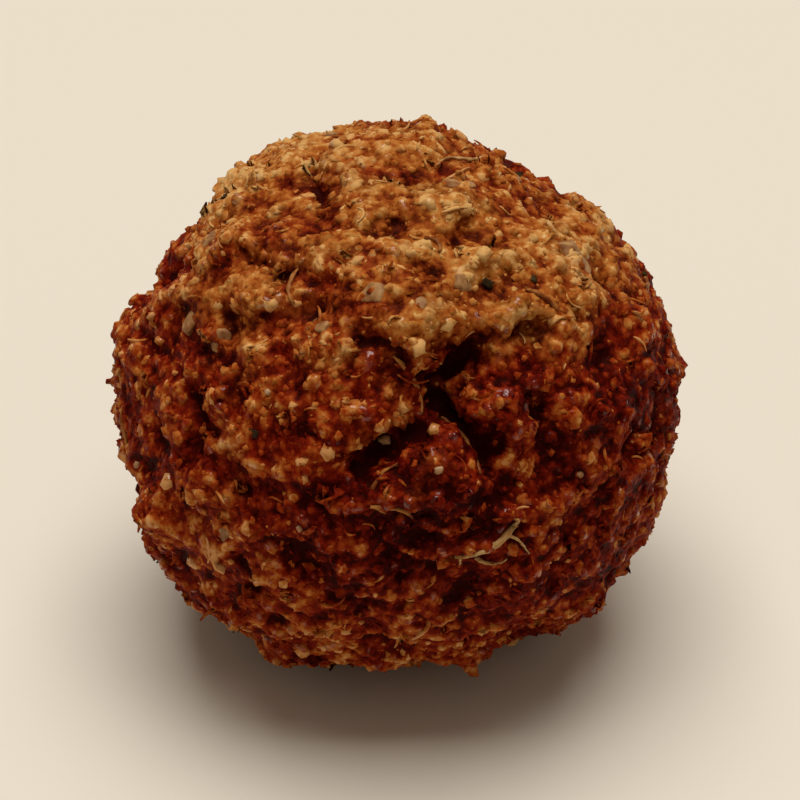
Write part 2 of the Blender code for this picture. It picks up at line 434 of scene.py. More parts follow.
cut_cracks(DEEP_CRACKS, HIDDEN_DEEP_PLACES, DEEP_REACH, DEEP_CUT)
cut_cracks(FINE_CRACKS, HIDDEN_FINE_PLACES, FINE_REACH, FINE_CUT)

# %% [markdown]
# ## What stands out
# Grains don't settle at the bottom of a crack, and the crust's colour is painted darker where a point lies
# deep and paler where it stands out: painted shade in the gaps and hollows, painted light on the tips.
# Both need to know how far each point stands out from its surroundings. Blurring the surface and
# looking at how far each point lies above the blurred one gives that, once over a short reach and once
# over a long one, and each is kept as an attribute of the mesh.

# %% Surroundings graph
NEAR_BLUR_ROUNDS = 7
WIDE_BLUR_ROUNDS = 70


def blurred_gap(tree, rounds):
    """How far each point stands out from the surface blurred over some rounds, in millimetres."""
    place = add_node(tree, "GeometryNodeInputPosition").outputs[0]
    normal = add_node(tree, "GeometryNodeInputNormal").outputs[0]
    blur = add_node(tree, "GeometryNodeBlurAttribute", {"Value": place, "Iterations": rounds},
                    data_type="FLOAT_VECTOR")
    gap = vector_node(tree, "SUBTRACT", place, find_socket(blur.outputs, "Value"))
    return math_node(tree, "MULTIPLY", vector_node(tree, "DOT_PRODUCT", gap, normal), 1 / MM)


def surroundings_graph():
    tree, start, end = new_geometry_graph("surroundings")
    kept = store(tree, start, "stands_out_near", blurred_gap(tree, NEAR_BLUR_ROUNDS))
    kept = store(tree, kept, "stands_out_wide", blurred_gap(tree, WIDE_BLUR_ROUNDS))
    tree.links.new(kept, end)
    return tree


SURROUNDINGS = surroundings_graph()
modify(mince, "NODES", node_group=SURROUNDINGS)

# %% [markdown]
# ## Grains
# Mince and crumb are grains: hard little chips from a quarter of a millimetre to two, no two alike. A few
# kinds of chip are modelled once. A low sphere has its points shaken in edit mode, which gives an uneven
# pebble with only a few dozen faces, and the finest ones start from an icosphere of twenty faces.

# %% Chip shapes
PEBBLES = [
    (1.0, 0.9, 0.8),
    (1.2, 0.85, 0.7),
    (1.1, 0.95, 0.6),
    (1.45, 0.7, 0.6),
    (1.3, 1.0, 0.5),
    (0.95, 0.85, 0.85),
]
SPECKS = [(1.0, 0.9, 0.7), (1.4, 0.8, 0.6), (1.1, 1.0, 0.5), (1.7, 0.55, 0.5)]
PEBBLE_SHAKE = 0.15
SPECK_SHAKE = 0.20


def shake(offset, seed):
    bpy.ops.transform.vertex_random(offset=offset, uniform=1.0, seed=seed)


def new_collection(name):
    collection = bpy.data.collections.new(name)
    bpy.context.scene.collection.children.link(collection)
    return collection


def move_to_collection(piece, collection):
    for owner in list(piece.users_collection):
        owner.objects.unlink(piece)
    collection.objects.link(piece)


def make_chips(name, stretches, offset, add, **settings):
    """A collection of uneven chips, one unit across, that start from the same primitive."""
    collection = new_collection(name)
    for index, stretch in enumerate(stretches):
        chip = add_shape(add, f"{name}_{index}", radius=0.5, **settings)
        with whole_mesh():
            shake(offset, index + 1)
        chip.scale = stretch
        bpy.ops.object.transform_apply(location=False, rotation=False, scale=True)
        bpy.ops.object.shade_smooth()
        move_to_collection(chip, collection)
    print(name, "have", count_faces(collection), "faces each")
    return collection


pebbles = make_chips("pebbles", PEBBLES, PEBBLE_SHAKE, bpy.ops.mesh.primitive_uv_sphere_add,
                     segments=6, ring_count=4)
specks = make_chips("specks", SPECKS, SPECK_SHAKE, bpy.ops.mesh.primitive_ico_sphere_add, subdivisions=1)

# %% [markdown]
# ## Shreds and scraps
# Between the grains lie longer things: shreds of meat and onion, half a millimetre thick, and thin curled
# scraps of crust. A shred is a short path with a round section, bent by moving its control points. A
# scrap is a small grid, given a thickness and rolled up a little by the Simple Deform modifier.

# %% Shred and scrap shapes
FIBRES = [
    [(-0.50, -0.10, 0.00), (-0.25, 0.05, 0.05), (0.00, 0.10, 0.09), (0.25, 0.02, 0.06), (0.50, -0.12, 0.00)],
    [(-0.48, 0.12, 0.00), (-0.22, -0.06, 0.08), (0.02, -0.08, 0.04), (0.26, 0.08, 0.08), (0.48, 0.14, -0.02)],
    [(-0.40, -0.22, -0.02), (-0.26, 0.02, 0.06), (0.00, 0.16, 0.10), (0.28, 0.06, 0.08), (0.42, -0.18, 0.00)],
]
FIBRE_RADII = (0.4, 1.0, 0.9, 1.1, 0.35)
FIBRE_DEPTH = 0.065
SCRAP_BENDS = (80, 130, 200)
SCRAP_WIDTH = 0.7
SCRAP_SHAKE = 0.09
SCRAP_THICKNESS = 0.10


def roll_up(piece, bend):
    """Bends a piece about its Y axis, by an angle in degrees."""
    modify(piece, "SIMPLE_DEFORM", deform_method="BEND", deform_axis="Y", angle=math.radians(bend))


def make_scrap(name, bend, seed):
    """A thin rolled scrap, one unit across."""
    scrap = add_shape(bpy.ops.mesh.primitive_grid_add, name, x_subdivisions=5, y_subdivisions=3, size=1.0)
    with whole_mesh():
        bpy.ops.transform.resize(value=(1.0, SCRAP_WIDTH, 1.0))
        shake(SCRAP_SHAKE, seed)
    roll_up(scrap, bend)
    modify(scrap, "SOLIDIFY", thickness=SCRAP_THICKNESS)
    bpy.ops.object.shade_smooth()
    return scrap


fibres = new_collection("fibres")
scraps = new_collection("scraps")
for index, points in enumerate(FIBRES):
    move_to_collection(path_tube(f"fibre_{index}", points, FIBRE_RADII, FIBRE_DEPTH, roundness=0), fibres)
for index, bend in enumerate(SCRAP_BENDS):
    move_to_collection(make_scrap(f"scrap_{index}", bend, index + 1), scraps)
print("A fibre has", count_faces(fibres), "faces, a scrap", count_faces(scraps))

# %% [markdown]
# ## Scattering
# Geometry Nodes scatters the chips. Points are laid on a surface at least a given distance apart, those
# in deep cracks and near the floor are taken away, and each one is sunk into the surface, turned and
# sized by chance. Each chip also gets one random number of its own, and its colour depends on that.

# %% Scatter graph
LOWEST_GRAIN = 0.7 * MM
MOST_TILT = math.radians(28)
SIZE_BIAS = 1.8
TRIES_PER_SPOT = 4.0


def random_value(tree, low, high, seed, kind="FLOAT"):
    node = add_node(tree, "FunctionNodeRandomValue", {"Min": low, "Max": high, "Seed": seed}, data_type=kind)
    return find_socket(node.outputs, "Value")


def is_below(tree, value, limit):
    node = add_node(tree, "FunctionNodeCompare", {"A": value, "B": limit}, operation="LESS_THAN",
                    data_type="FLOAT")
    return node.outputs[0]


def keep_points(tree, points, deepest):
    """Takes away the points that are close to the floor or deeper in a hollow than given."""
    place = add_node(tree, "GeometryNodeInputPosition").outputs[0]
    low = is_below(tree, add_node(tree, "ShaderNodeSeparateXYZ", {0: place}).outputs[2], LOWEST_GRAIN)
    deep = is_below(tree, stored(tree, "stands_out_wide"), deepest)
    either = add_node(tree, "FunctionNodeBooleanMath", {0: low, 1: deep}, operation="OR").outputs[0]
    return add_node(tree, "GeometryNodeDeleteGeometry", {"Geometry": points, "Selection": either},
                    domain="POINT").outputs[0]


def scatter_graph(name, surface, chips, spacing, small, large, sunk, deepest, seed):
    """Chips over a surface, sized from small to large and sunk into it by a share of their size."""
    tree, _, end = new_geometry_graph(name)
    ground = add_node(tree, "GeometryNodeObjectInfo", {"Object": surface}).outputs["Geometry"]
    spots = add_node(tree, "GeometryNodeDistributePointsOnFaces",
                     {"Mesh": ground, "Distance Min": spacing, "Density Max": TRIES_PER_SPOT / spacing**2,
                      "Seed": seed}, distribute_method="POISSON")
    chance = math_node(tree, "POWER", random_value(tree, 0.0, 1.0, seed + 1), SIZE_BIAS)
    size = math_node(tree, "MULTIPLY_ADD", chance, large - small, small)
    points = keep_points(tree, store(tree, spots.outputs["Points"], "chip_size", size), deepest)
    size = stored(tree, "chip_size")
    points = push_points(tree, points, spots.outputs["Normal"], math_node(tree, "MULTIPLY", size, -sunk))
    lean = random_value(tree, (-MOST_TILT, -MOST_TILT, 0.0), (MOST_TILT, MOST_TILT, math.tau), seed + 2,
                        "FLOAT_VECTOR")
    lean = add_node(tree, "FunctionNodeEulerToRotation", {0: lean}).outputs[0]
    turn = add_node(tree, "FunctionNodeRotateRotation", {0: spots.outputs["Rotation"], 1: lean},
                    rotation_space="LOCAL").outputs[0]
    kinds = add_node(tree, "GeometryNodeCollectionInfo",
                     {"Collection": chips, "Separate Children": True, "Reset Children": True})
    placed = add_node(tree, "GeometryNodeInstanceOnPoints",
                      {"Points": points, "Instance": kinds.outputs[0], "Pick Instance": True,
                       "Rotation": turn, "Scale": size})
    number = random_value(tree, 0.0, 1.0, seed + 3)
    numbered = store(tree, placed.outputs[0], "chip_number", number, domain="INSTANCE")
    real = add_node(tree, "GeometryNodeRealizeInstances", {"Geometry": numbered})
    tree.links.new(real.outputs[0], end)
    return tree


def scatter(name, **choices):
    """A new piece made of chips scattered over a surface."""
    piece = add_shape(bpy.ops.mesh.primitive_plane_add, name, size=1 * MM)
    modify(piece, "NODES", node_group=scatter_graph(name, **choices))
    print(name, "has", count_triangles(piece), "triangles")
    return piece


# %% [markdown]
# ## The crust
# The larger grains of a fried ball aren't loose: they are welded into its crust. So the first scatter is
# joined to the mince and remeshed with it, which melts the grains into one skin with real gaps and
# undercuts. Displacing a sphere with a texture would be quicker, but it can't make an overhang. The net
# forgets which grain a point came from, so Geometry Nodes looks up each point's number again from the
# nearest place on the loose grains.

# %% Fuse grains and mince
GRAIN_NET = 0.345 * MM
GRAIN_SMOOTH_ROUNDS = 1
GRAIN_SPACING = 1.25 * MM
SMALL_GRAIN = 0.9 * MM
LARGE_GRAIN = 2.1 * MM


def number_graph(source):
    """Gives each point the chip number of the nearest place on another object's surface."""
    tree, start, end = new_geometry_graph("grain_numbers")
    loose = add_node(tree, "GeometryNodeObjectInfo", {"Object": source}).outputs["Geometry"]
    nearest = add_node(tree, "GeometryNodeSampleNearestSurface",
                       {"Mesh": loose, "Value": stored(tree, "chip_number")}, data_type="FLOAT")
    tree.links.new(store(tree, start, "chip_number", find_socket(nearest.outputs, "Value")), end)
    return tree


grains = scatter("grains", surface=mince, chips=pebbles, spacing=GRAIN_SPACING, small=SMALL_GRAIN,
                 large=LARGE_GRAIN, sunk=0.08, deepest=-0.40, seed=3)
join([grains, mince], "grains")
crust = grains.copy()
crust.data = grains.data.copy()
crust.name = "crust"
crust.data.name = "crust"
bpy.context.scene.collection.objects.link(crust)
remesh_and_smooth(crust, GRAIN_NET, GRAIN_SMOOTH_ROUNDS)
modify(crust, "NODES", node_group=number_graph(grains))
bpy.data.objects.remove(grains)

# %% [markdown]
# ## Grit on the crust
# The fused skin still lacks grit. Voronoi cells are the natural pattern for packed granules: each cell
# is a small dome with its own height, and a fine noise roughens them. The place before this relief is
# kept, so that the crust's material isn't stretched where the relief is steep.

# %% Relief graph
GRANULE_SIZE = 0.95 * MM
GRANULE_HEIGHT = 0.22 * MM
LOWEST_DOME = 0.3
DOME_STEEPNESS = 1.25
GRIT_SIZE = 0.45 * MM
GRIT_HEIGHT = 0.16 * MM
WARP_SIZE = 1.6 * MM
WARP_REACH = 0.35 * MM
FLOOR_GAP = 0.02 * MM


def warped_place(tree, place):
    """The place pushed about by a soft noise, which keeps cells from looking like cut glass."""
    push = vector_node(tree, "SUBTRACT", noise(tree, place, WARP_SIZE, 1.0, "Color"), (0.5, 0.5, 0.5))
    return vector_node(tree, "ADD", place, vector_node(tree, "SCALE", push, 2 * WARP_REACH))


def cell_domes(tree, place, size):
    """Domes over Voronoi cells, each with its own height of up to 1."""
    cells = add_node(tree, "ShaderNodeTexVoronoi", {"Vector": place, "Scale": 1 / size})
    number = add_node(tree, "ShaderNodeSeparateXYZ", {0: cells.outputs["Color"]}).outputs[0]
    fall = math_node(tree, "MULTIPLY", cells.outputs["Distance"], DOME_STEEPNESS)
    dome = math_node(tree, "SUBTRACT", 1.0, math_node(tree, "POWER", fall, 2.0), clamp=True)
    share = math_node(tree, "MULTIPLY_ADD", number, 1.0 - LOWEST_DOME, LOWEST_DOME)
    return math_node(tree, "MULTIPLY", dome, share)


def relief_graph():
    tree, start, end = new_geometry_graph("relief")
    place = add_node(tree, "GeometryNodeInputPosition").outputs[0]
    normal = add_node(tree, "GeometryNodeInputNormal").outputs[0]
    kept = store(tree, start, "rest_place", place, kind="FLOAT_VECTOR")
    domes = cell_domes(tree, warped_place(tree, place), GRANULE_SIZE)
    height = math_node(tree, "MULTIPLY", domes, GRANULE_HEIGHT)
    height = math_node(tree, "MULTIPLY_ADD", noise(tree, place, GRIT_SIZE, 2.0), GRIT_HEIGHT, height)
    height = math_node(tree, "SUBTRACT", height, 0.5 * (GRANULE_HEIGHT + GRIT_HEIGHT))
    tree.links.new(push_points(tree, kept, normal, height), end)
    return tree


def lift_graph():
    """Keeps every point above the floor."""
    tree, start, end = new_geometry_graph("lift")
    place = add_node(tree, "GeometryNodeInputPosition").outputs[0]
    parts = add_node(tree, "ShaderNodeSeparateXYZ", {0: place}).outputs
    height = math_node(tree, "MAXIMUM", parts[2], FLOOR_GAP)
    lifted = add_node(tree, "ShaderNodeCombineXYZ", {0: parts[0], 1: parts[1], 2: height}).outputs[0]
    moved = add_node(tree, "GeometryNodeSetPosition", {"Geometry": start, "Position": lifted})
    tree.links.new(moved.outputs[0], end)
    return tree


LIFT = lift_graph()
for graph in (relief_graph(), SURROUNDINGS, LIFT):
    modify(crust, "NODES", node_group=graph)
print("The crust has", count_triangles(crust), "triangles")

# %% [markdown]
# ## Unevenly fried, with painted light and shade
# A ball fries darker where it lay in the oil longest, and stays golden where it stuck out. Soft round
# patches hold that, and some of them hold painted light and shade as well: the right flank is painted
# darker as painted shade, and the far left edge, which faces away from the lamp, paler as painted light.
# Each has a place, a reach in degrees, how much paler it makes the crust, and how much more golden.
# Those on the front follow the real ball, and a rule sets some on the sides that don't show. They are
# kept as attributes, which the crumbs on top inherit.

# %% Patches
TONES = [
    ((10, 18), 20, -0.28, -0.1),
    ((-12, 3), 22, -0.16, -0.1),
    ((26, 38), 16, -0.12, -0.1),
    ((42, 29), 20, -0.12, -0.2),
    ((52, 40), 14, 0.10, 0.2),
    # painted shade: this patch darkens the right flank
    ((68, 15), 26, -0.14, -0.3),
    ((42, -12), 22, -0.09, 0.0),
    ((-53, 11), 10, -0.08, 0.0),
    ((78, 50), 18, 0.08, 0.2),
    ((40, 66), 18, 0.06, 0.3),
    ((22, 54), 16, -0.04, 0.1),
    ((-75, 66), 22, -0.02, 0.0),
    # painted light: this patch makes the far left edge, which faces away from the lamp, paler
    ((-84, 36), 22, 0.18, 0.5),
    ((-114, 42), 22, 0.14, 0.4),
    ((108, 36), 20, 0.06, 0.2),
    ((-34, 42), 20, 0.03, 0.15),
    ((-38, 14), 14, 0.10, 0.2),
    ((-47, -5), 18, 0.10, 0.2),
    ((-20, -25), 18, 0.09, 0.3),
    ((4, -30), 22, 0.09, 0.5),
]
HIDDEN_REACH = 22
HIDDEN_PALER = 0.11
HIDDEN_GOLD = 0.4


def tone_graph(tones):
    """Stores how much paler and how much more golden each point is for the patches that it lies in."""
    tree, start, end = new_geometry_graph("tone")
    place = add_node(tree, "GeometryNodeInputPosition").outputs[0]
    outward = vector_node(tree, "NORMALIZE", vector_node(tree, "SUBTRACT", place, BALL_MIDDLE))
    paler = 0.0
    golden = 0.0
    for where, reach, shade, gold in tones:
        along = vector_node(tree, "DOT_PRODUCT", outward, direction(*where))
        share = rise(tree, along, math.cos(math.radians(reach)), 1.0)
        paler = math_node(tree, "MULTIPLY_ADD", share, shade, paler)
        golden = math_node(tree, "MULTIPLY_ADD", share, gold, golden)
    kept = store(tree, start, "paler", paler)
    tree.links.new(store(tree, kept, "more_golden", golden), end)
    return tree


tone_list = list(TONES)
for index, place in enumerate(spread_places(count=12, start=108, step=15, lowest=-35, highest=55)):
    sign = -1 if index % 2 else 1
    tone_list.append((place, HIDDEN_REACH, sign * HIDDEN_PALER, sign * HIDDEN_GOLD))
modify(crust, "NODES", node_group=tone_graph(tone_list))
print("The crust has", len(tone_list), "paler and darker patches")

# %% [markdown]
# ## Colour of the crust
# Fried crumb goes from straw through gold and russet to almost black, and the gaps are painted the
# darkest, as painted shade. The cap, most of all on its right, stays golden, and the flanks are a deep
# red brown. Two ramps hold these two runs of colour, and a third one a duller khaki that blotches the
# gold. What moves along a ramp is added up: a grain's own shade, how far it stands out, which paints
# shade into the gaps and hollows and light onto the tips, its patch, and a soft mottling. What mixes the
# ramps is the place.

# %% Ramps
RUSSET = [
    (0.00, (0.024, 0.0003, 0.0002)),
    (0.22, (0.084, 0.0022, 0.0004)),
    (0.42, (0.184, 0.0098, 0.0014)),
    (0.60, (0.302, 0.0410, 0.0050)),
    (0.80, (0.455, 0.1400, 0.0230)),
    (1.00, (0.640, 0.3000, 0.1050)),
]
GOLD = [
    (0.00, (0.026, 0.0012, 0.0003)),
    (0.22, (0.100, 0.0105, 0.0013)),
    (0.42, (0.235, 0.0440, 0.0052)),
    (0.60, (0.370, 0.1030, 0.0145)),
    (0.80, (0.500, 0.1980, 0.0430)),
    (1.00, (0.650, 0.3600, 0.1200)),
]
KHAKI = [
    (0.00, (0.026, 0.0012, 0.0003)),
    (0.22, (0.095, 0.0120, 0.0015)),
    (0.42, (0.215, 0.0530, 0.0066)),
    (0.60, (0.340, 0.1140, 0.0180)),
    (1.00, (0.630, 0.3500, 0.1200)),
]


def ramp(tree, factor, stops):
    node = add_node(tree, "ShaderNodeValToRGB", {"Fac": factor})
    while len(node.color_ramp.elements) < len(stops):
        node.color_ramp.elements.new(0.5)
    for element, (position, colour) in zip(node.color_ramp.elements, stops):
        element.position = position
        element.color = (*colour, 1.0)
    return node.outputs["Color"]


def mix_colours(tree, factor, first, second):
    node = add_node(tree, "ShaderNodeMix", {"Factor": factor, "A": first, "B": second}, data_type="RGBA")
    return find_socket(node.outputs, "Result")


def read_attribute(tree, name, output="Fac"):
    """An attribute of the mesh, read in a material."""
    return add_node(tree, "ShaderNodeAttribute", attribute_name=name).outputs[output]


def add_shares(tree, total, shares):
    """Adds up values, each times its own share."""
    for value, share in shares:
        total = math_node(tree, "MULTIPLY_ADD", value, share, total)
    return total


# %% Browned colour
GOLD_HEART = direction(70, 75)
PATCH_SIZE = 9.0 * MM
BLOTCH_SIZE = 2.6 * MM
PATCH_SHARE = 1.1
GOLD_STARTS = 1.46
GOLD_IS_FULL = 2.22
KHAKI_OFFSET = (0.1, 0.2, 0.3)
KHAKI_SIZE = 3.4 * MM
KHAKI_STARTS = 0.54
KHAKI_IS_FULL = 0.64
PALE_FEW = 3.0
HIGHEST_LUMP = 0.3
HOLLOW_SHADE_SHARE = 0.32
GOLD_SHARE = 0.16
MOTTLE_SIZE = 3.6 * MM
MOTTLE_SHARE = 0.90
GRAIN_TINT_SIZE = 1.1 * MM
GRAIN_TINT_SHARE = 0.75
SPECK_SIZE = 0.5 * MM
SPECK_SHARE = 0.80


def goldness(tree, place):
    """How golden this part of the ball is: 0 on the low flanks, 1 at the heart of the cap."""
    centred = vector_node(tree, "SUBTRACT", place, BALL_MIDDLE)
    share = add_shares(tree, read_attribute(tree, "more_golden"), [
        (vector_node(tree, "DOT_PRODUCT", centred, GOLD_HEART), 1 / BALL_RADIUS),
        (noise(tree, place, PATCH_SIZE, 2.0), PATCH_SHARE),
        (noise(tree, place, BLOTCH_SIZE, 1.0), PATCH_SHARE),
    ])
    return rise(tree, share, GOLD_STARTS, GOLD_IS_FULL)


def khaki_share(tree, place):
    """Blotches where an onion lies under the crumb and the gold goes duller."""
    blotches = noise(tree, vector_node(tree, "ADD", place, KHAKI_OFFSET), KHAKI_SIZE, 1.0)
    return rise(tree, blotches, KHAKI_STARTS, KHAKI_IS_FULL)


def browned_colour(tree, place, grain, near, base, grain_share, near_shade_share):
    """The crust's colour, with shade painted into its gaps and hollows, and the specks that also give its
    bump.
    """
    specks = noise(tree, place, SPECK_SIZE, 3.0)
    gold = goldness(tree, place)
    # painted shade: the crust's hollows are painted darker, and its lumps a little paler
    hollow_shade = math_node(tree, "MINIMUM", read_attribute(tree, "stands_out_wide"), HIGHEST_LUMP)
    shade = add_shares(tree, math_node(tree, "ADD", read_attribute(tree, "paler"), base), [
        (math_node(tree, "POWER", grain, PALE_FEW), grain_share),
        # painted shade in the fine gaps and painted light on the tips
        (near, near_shade_share),
        (hollow_shade, HOLLOW_SHADE_SHARE),
        (gold, GOLD_SHARE),
        (noise(tree, place, MOTTLE_SIZE, 2.0), MOTTLE_SHARE),
        (noise(tree, place, GRAIN_TINT_SIZE, 1.0), GRAIN_TINT_SHARE),
        (specks, SPECK_SHARE),
    ])
    golden = mix_colours(tree, khaki_share(tree, place), ramp(tree, shade, GOLD), ramp(tree, shade, KHAKI))
    return mix_colours(tree, gold, ramp(tree, shade, RUSSET), golden), specks


# %% Fried material
WARM_TINT = (1.0, 0.62, 0.38, 1.0)
OIL_SIZE = 0.7 * MM
OIL_SPOTS = (0.56, 0.62)
OIL_TIPS = (0.06, 0.14)


def new_material(name):
    """A new material, its node tree and its shader."""
    material = bpy.data.materials.new(name)
    material.use_nodes = True
    return material, material.node_tree, material.node_tree.nodes["Principled BSDF"]


def cover(piece, material):
    """Gives a piece one material in place of what it has."""
    piece.data.materials.clear()
    piece.data.materials.append(material)


def oil_glints(tree, place, near):
    """Spots of frying oil on the tips that stand out."""
    spots = rise(tree, noise(tree, place, OIL_SIZE, 1.0), *OIL_SPOTS, kind="LINEAR")
    return math_node(tree, "MULTIPLY", spots, rise(tree, near, *OIL_TIPS, kind="LINEAR"))


def fried_material(name, base, grain_share, near_shade_share, on_crust=False):
    """A dry browned crumb with a fine bump, and oil on its tips that catches the light."""
    material, tree, shader = new_material(name)
    if on_crust:
        place = read_attribute(tree, "rest_place", "Vector")
    else:
        place = add_node(tree, "ShaderNodeTexCoord").outputs["Object"]
    grain = read_attribute(tree, "chip_number")
    near = read_attribute(tree, "stands_out_near")
    colour, specks = browned_colour(tree, place, grain, near, base, grain_share, near_shade_share)
    bump = add_node(tree, "ShaderNodeBump", {"Height": specks, "Strength": 0.7, "Distance": 0.10 * MM})
    set_inputs(tree, shader, {
        "Base Color": colour,
        "Normal": bump.outputs[0],
        "Roughness": 0.60,
        "Specular IOR Level": 0.05,
        "Specular Tint": WARM_TINT,
        "Coat Weight": oil_glints(tree, place, near),
        "Coat Roughness": 0.14,
    })
    return material


# the crust takes the largest near share, so the strongest painted shade in its gaps
cover(crust, fried_material("fried_crust", base=-0.915, grain_share=0.24, near_shade_share=1.12, on_crust=True))
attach(crust, "root")
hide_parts("meatball")

# %% [markdown]
# ## Crumbs
# On top of the fused skin lie looser crumbs, some golden and some brown, and a dusting of much finer
# ones. They are pieces of their own, a piece for each kind, and their colour follows the same ramps, so
# that a crumb belongs to the part of the crust it lies on. Each kind below has its name, its chips, their
# spacing, least and most size in millimetres, the share that is sunk, the deepest hollow that they lie
# in, and in its colour the base shade and the share of each grain's own.

# %% Scatter the crumbs
CRUMBS = [
    ("crumbs_golden", pebbles, 1.15, 0.6, 1.5, 0.20, -0.42, -0.77, 0.40),
    ("crumbs_brown", pebbles, 1.00, 0.6, 1.4, 0.22, -0.50, -0.88, 0.30),
    ("dust_golden", specks, 0.95, 0.25, 0.60, 0.10, -0.60, -0.80, 0.40),
    ("dust_brown", specks, 0.90, 0.25, 0.70, 0.10, -0.80, -0.92, 0.30),
    ("shreds", fibres, 4.0, 1.4, 3.0, 0.05, -0.50, -0.66, 0.35),
    ("flakes", scraps, 3.4, 1.1, 2.3, 0.14, -0.50, -0.74, 0.35),
]
# painted shade: crumbs that lie in the crust's gaps are painted darker, those on its tips paler
CRUMB_NEAR_SHADE_SHARE = 0.4
SEED_STEP = 10

for index, (name, chips, spacing, small, large, sunk, deepest, base, grain_share) in enumerate(CRUMBS):
    piece = scatter(name, surface=crust, chips=chips, spacing=spacing * MM, small=small * MM,
                    large=large * MM, sunk=sunk, deepest=deepest, seed=SEED_STEP * (index + 1))
    modify(piece, "NODES", node_group=LIFT)
    cover(piece, fried_material(name, base, grain_share, CRUMB_NEAR_SHADE_SHARE))
    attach(piece, "root")
for collection in (pebbles, specks, fibres, scraps):
    for chip in list(collection.objects):
        bpy.data.objects.remove(chip)

# %% [markdown]
# ## Onion, strands and herbs
# A few bits in the crust are no crumbs: chips of onion gone glassy in the oil, a pale strand of onion
# with its whiskers, thin browned rims where a layer of onion shows its edge, and flecks of dried herb.
# Each is made from a simple shape and then set where rays from outside meet the crust round its place,
# so that it lies level with the crumbs about it. On the front they lie where they can be seen on the
# real ball, and a rule spreads some more over the rest.

# %% Setting things on the crust
SEAT_RAYS = 6
SEAT_SHARE = 0.35


def seat(azimuth, elevation, reach):
    """The middle of the patch of crust round a place, and the way that the patch faces."""
    outward = direction(azimuth, elevation)
    upright = outward.to_track_quat("Z", "Y")
    ring = []
    for step in range(SEAT_RAYS):
        angle = step * math.tau / SEAT_RAYS
        start = Vector((reach * math.cos(angle), reach * math.sin(angle), 2 * BALL_RADIUS))
        ring.append(crust.ray_cast(BALL_MIDDLE + upright @ start, -outward)[1])
    middle = sum(ring, Vector()) / SEAT_RAYS
    facing = Vector()
    for here, after in zip(ring, ring[1:] + ring[:1]):
        facing += (here - middle).cross(after - middle)
    return middle, facing.normalized()


def settle(piece, place, size, turn, lift):
    """Sizes a piece, lays it on the crust with its top outwards, and keeps that in its mesh."""
    middle, facing = seat(*place, SEAT_SHARE * size)
    piece.scale = (size, size, size)
    piece.rotation_mode = "QUATERNION"
    spin = Quaternion((0, 0, 1), math.radians(turn))
    piece.rotation_quaternion = facing.to_track_quat("Z", "Y") @ spin
    piece.location = middle + lift * facing
    select_only(piece)
    bpy.ops.object.transform_apply(location=True, rotation=True, scale=True)
    return piece


# %% Onion chips
CHIP_LIFT = -0.16 * MM
CHIP_ROUNDNESS = 0.45
CHIP_SHAKE = 0.13
CHIP_SHAPE = (1.0, 0.70, 0.26)
CHIP_BEND = -35
SHOWN_CHIPS = [
    ((86, 78), 3.0 * MM, 20),
    ((74, 49), 4.2 * MM, 60),
    ((-82, 48), 2.6 * MM, 100),
    ((-26, 49), 2.0 * MM, 10),
    ((-55, 37), 2.2 * MM, 75),
    ((7, 1), 1.8 * MM, 40),
    ((26, 58), 2.4 * MM, 150),
    ((6, 54), 1.9 * MM, 30),
]
HIDDEN_CHIP_SIZES = (1.8 * MM, 2.9 * MM)
HIDDEN_CHIP_TURN = 47


def make_onion_chip(index, place, size, turn):
    """A thin uneven chip with soft corners."""
    chip = add_shape(bpy.ops.mesh.primitive_cube_add, f"onion_{index}", size=0.8)
    with whole_mesh():
        bpy.ops.mesh.subdivide(number_cuts=2)
        bpy.ops.transform.tosphere(value=CHIP_ROUNDNESS)
        shake(CHIP_SHAKE, index + 1)
        bpy.ops.transform.resize(value=CHIP_SHAPE)
    roll_up(chip, CHIP_BEND)
    modify(chip, "SUBSURF", levels=1, render_levels=1)
    bpy.ops.object.shade_smooth()
    return settle(chip, place, size, turn, CHIP_LIFT)


chip_list = list(SHOWN_CHIPS)
for index, place in enumerate(spread_places(count=9, start=118, step=29, lowest=-30, highest=62)):
    chip_list.append((place, stepped(index, *HIDDEN_CHIP_SIZES), HIDDEN_CHIP_TURN * index))
onion_chips = join([make_onion_chip(index, *chip) for index, chip in enumerate(chip_list)], "onion_chips")
print("There are", len(chip_list), "chips of onion")

# %% Strands and rims
STRAND_DEPTH = 0.27 * MM
STRAND_LIFT = 0.34 * MM
STRAND_SHAKE = 0.07 * MM
STRAND_RADII = (0.6, 1.0, 0.8, 1.2, 0.8)
WHISKER_RADII = (0.6, 0.5, 0.45, 0.35, 0.2)
SLIGHT_RADII = (0.3, 0.6, 0.5, 0.65, 0.3)
CURL_RADII = (0.35, 0.55, 0.45, 0.6, 0.35)
STRANDS = [
    ([(11.4, 1.6), (14.5, 3.0), (17.7, 3.7), (20.9, 4.5), (24.5, 6.4)], STRAND_RADII),
    ([(21.7, 5.0), (23.4, 4.6), (24.9, 2.8), (26.0, 1.0), (26.6, -0.5)], WHISKER_RADII),
    ([(23.2, 5.8), (24.2, 6.6), (24.8, 7.6), (24.4, 8.6), (23.4, 9.0)], WHISKER_RADII),
    ([(12.2, 2.4), (12.0, 1.2), (12.4, 0.0), (12.9, -1.0), (12.6, -2.2)], WHISKER_RADII),
    ([(15.6, 0.2), (16.8, -0.6), (18.4, -1.7), (20.2, -1.7), (21.8, -0.6)], WHISKER_RADII),
    ([(135.0, 78.6), (146.3, 71.1), (124.8, 73.7), (124.9, 70.6), (135.0, 64.0)], CURL_RADII),
]
RIM_DEPTH = 0.20 * MM
RIM_LIFT = 0.16 * MM
RIM_RADII = (0.5, 1.0, 1.2, 1.0, 0.5)
